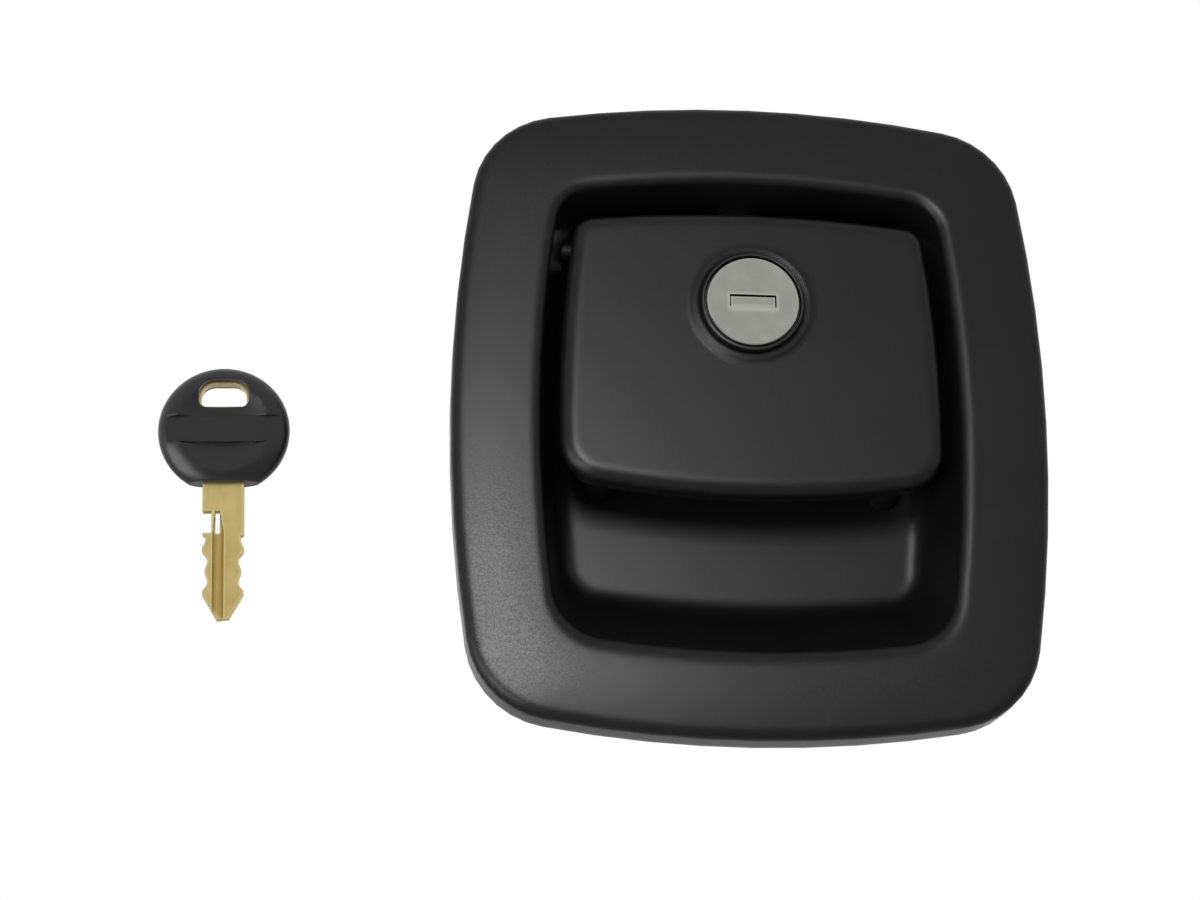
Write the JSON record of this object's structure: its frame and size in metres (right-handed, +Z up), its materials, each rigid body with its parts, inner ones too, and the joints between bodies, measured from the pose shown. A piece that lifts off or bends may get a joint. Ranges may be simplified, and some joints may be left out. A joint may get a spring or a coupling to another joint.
{
  "type": "compartment door latch",
  "caption": "Flush black compartment door latch with a recessed pull paddle, a key lock in the paddle, a spring bolt behind and a loose key.",
  "frame": {"origin": "middle of the bezel, on the door skin plane that the gasket's back presses on", "axes": "+X right and +Z up seen from the front, +Y into the compartment"},
  "size_m": [0.1773, 0.0528, 0.1433],
  "materials": {
    "black_coat": "satin black powder coat with a fine grain",
    "foam": "matt closed-cell foam",
    "black_oxide": "blackened and oiled steel",
    "plated_steel": "clear zinc plate",
    "spring_steel": "drawn wire",
    "bumper_rubber": "matt",
    "bush_nylon": "natural nylon",
    "lock_black": "satin black",
    "satin_nickel": "fine brushed nickel plate",
    "cast_zinc": "as cast, lightly tumbled",
    "key_brass": "milled brass",
    "key_plastic": "glossy black moulding"
  },
  "bodies": {
    "housing": {"pan_housing": "black_coat", "flange_gasket": "foam", "mounting_studs": "plated_steel", "hinge_pin": "black_oxide", "hinge_clips": "black_oxide", "paddle_bumpers": "bumper_rubber", "guide_plate": "plated_steel", "bolt_guide": "plated_steel", "guide_screws": "plated_steel", "bolt_spring": "spring_steel"},
    "paddle": {"paddle_handle": "black_coat", "hinge_bushes": "bush_nylon", "trip_arm": "plated_steel", "arm_screws": "plated_steel", "return_spring": "spring_steel", "lock_cylinder": "lock_black", "lock_nut": "plated_steel"},
    "plug": {"lock_plug": "satin_nickel", "wafer_tumblers": "key_brass", "lock_cam": "plated_steel", "cam_screw": "plated_steel", "shutter_pin": "spring_steel"},
    "shutter": {"key_shutter": "satin_nickel"},
    "bolt": {"latch_bolt": "cast_zinc"},
    "key": {"key_blade": "key_brass", "key_head": "key_plastic"}
  },
  "joints": [
    {"name": "paddle_pull", "type": "hinge", "parent": "housing", "child": "paddle", "pos_m": [0, 0.0022, 0.0377], "axis": [-1, 0, 0], "range_deg": [0, 30], "stiffness_Nm_per_rad": 0.3, "springref_deg": -34.38},
    {"name": "bolt_slide", "type": "slide", "parent": "housing", "child": "bolt", "axis": [0, 0, -1], "range_m": [0, 0.0151], "stiffness_N_per_m": 250, "springref_m": -0.02, "deforming": ["bolt_spring"]},
    {"name": "plug_turn", "type": "hinge", "parent": "paddle", "child": "plug", "pos_m": [0, -0.0133, 0.0222], "axis": [0, -1, 0], "range_deg": [0, 90]},
    {"name": "shutter_flap", "type": "hinge", "parent": "plug", "child": "shutter", "pos_m": [0, -0.0122, 0.02115], "axis": [-1, 0, 0], "range_deg": [0, 75], "stiffness_Nm_per_rad": 0.0004, "springref_deg": -28.65},
    {"name": "key_lift", "type": "slide", "parent": "housing", "child": "key", "axis": [0, -1, 0], "range_m": [0, 0.05]}
  ],
  "couplings": [
    {"joint": "bolt_slide", "follows": "paddle_pull", "m_per_rad": 0.02867}
  ]
}
